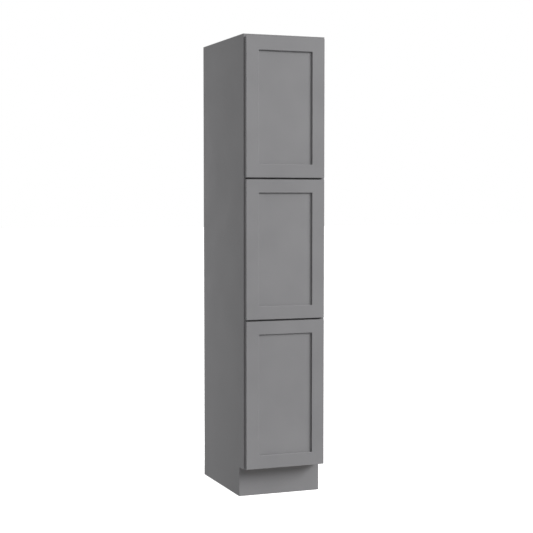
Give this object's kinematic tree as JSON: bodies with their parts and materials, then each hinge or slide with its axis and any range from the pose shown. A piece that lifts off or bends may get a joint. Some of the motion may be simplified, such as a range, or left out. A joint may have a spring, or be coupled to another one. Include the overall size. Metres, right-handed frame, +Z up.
{
  "type": "pantry cabinet",
  "caption": "Tall narrow storage cabinet with a toe space and stacked doors, each with a recessed panel, hinged on the right over a face frame.",
  "frame": {"origin": "on the floor under the middle of the cabinet's width and of its depth, doors included", "axes": "+X to the right as one stands in front of the doors, +Y back towards the wall, +Z up"},
  "size_m": [0.4572, 0.6858, 2.4384],
  "materials": {
    "painted_wood": "satin mid-grey paint, lightly grained",
    "painted_plywood": "satin mid-grey paint outside, clear-coated birch inside",
    "plywood": "clear-coated birch plywood",
    "beech": "raw beech",
    "nickel_steel": "nickel-plated, satin",
    "clear_bumper": "clear soft plastic"
  },
  "bodies": {
    "cabinet": {"side_panel_left": "painted_plywood", "side_panel_right": "painted_plywood", "top_panel": "plywood", "bottom_deck": "plywood", "fixed_shelf_lower": "plywood", "fixed_shelf_upper": "plywood", "back_panel": "plywood", "hanging_rail_top": "plywood", "hanging_rail_upper": "plywood", "hanging_rail_lower": "plywood", "hanging_rail_bottom": "plywood", "toe_kick_board": "plywood", "toe_glue_blocks": "plywood", "toe_kick_skin": "painted_plywood", "frame_stile_left": "painted_wood", "frame_stile_right": "painted_wood", "frame_rail_top": "painted_wood", "frame_rail_upper": "painted_wood", "frame_rail_lower": "painted_wood", "frame_rail_bottom": "painted_wood", "frame_dowels": "beech", "shelf_top": "plywood", "shelf_middle_lower": "plywood", "shelf_middle_upper": "plywood", "shelf_bottom": "plywood", "shelf_pins": "nickel_steel", "hinge_arms_top": "nickel_steel", "hinge_arms_middle": "nickel_steel", "hinge_arms_bottom": "nickel_steel", "hinge_arm_screws": "nickel_steel"},
    "door_top": {"door_top_stile_left": "painted_wood", "door_top_stile_right": "painted_wood", "door_top_rail_top": "painted_wood", "door_top_rail_bottom": "painted_wood", "door_top_panel": "painted_wood", "door_bumpers_top": "clear_bumper", "hinge_cups_top": "nickel_steel", "hinge_pins_top": "nickel_steel", "hinge_cup_screws_top": "nickel_steel"},
    "door_middle": {"door_middle_stile_left": "painted_wood", "door_middle_stile_right": "painted_wood", "door_middle_rail_top": "painted_wood", "door_middle_rail_bottom": "painted_wood", "door_middle_panel": "painted_wood", "door_bumpers_middle": "clear_bumper", "hinge_cups_middle": "nickel_steel", "hinge_pins_middle": "nickel_steel", "hinge_cup_screws_middle": "nickel_steel"},
    "door_bottom": {"door_bottom_stile_left": "painted_wood", "door_bottom_stile_right": "painted_wood", "door_bottom_rail_top": "painted_wood", "door_bottom_rail_bottom": "painted_wood", "door_bottom_panel": "painted_wood", "door_bumpers_bottom": "clear_bumper", "hinge_cups_bottom": "nickel_steel", "hinge_pins_bottom": "nickel_steel", "hinge_cup_screws_bottom": "nickel_steel"}
  },
  "joints": [
    {"name": "door_top_hinge", "type": "hinge", "parent": "cabinet", "child": "door_top", "pos_m": [0.2136, -0.3324, 2.05988], "axis": [0, 0, 1], "range_deg": [0, 105]},
    {"name": "door_middle_hinge", "type": "hinge", "parent": "cabinet", "child": "door_middle", "pos_m": [0.2136, -0.3324, 1.31705], "axis": [0, 0, 1], "range_deg": [0, 105]},
    {"name": "door_bottom_hinge", "type": "hinge", "parent": "cabinet", "child": "door_bottom", "pos_m": [0.2136, -0.3324, 0.54977], "axis": [0, 0, 1], "range_deg": [0, 105]}
  ]
}
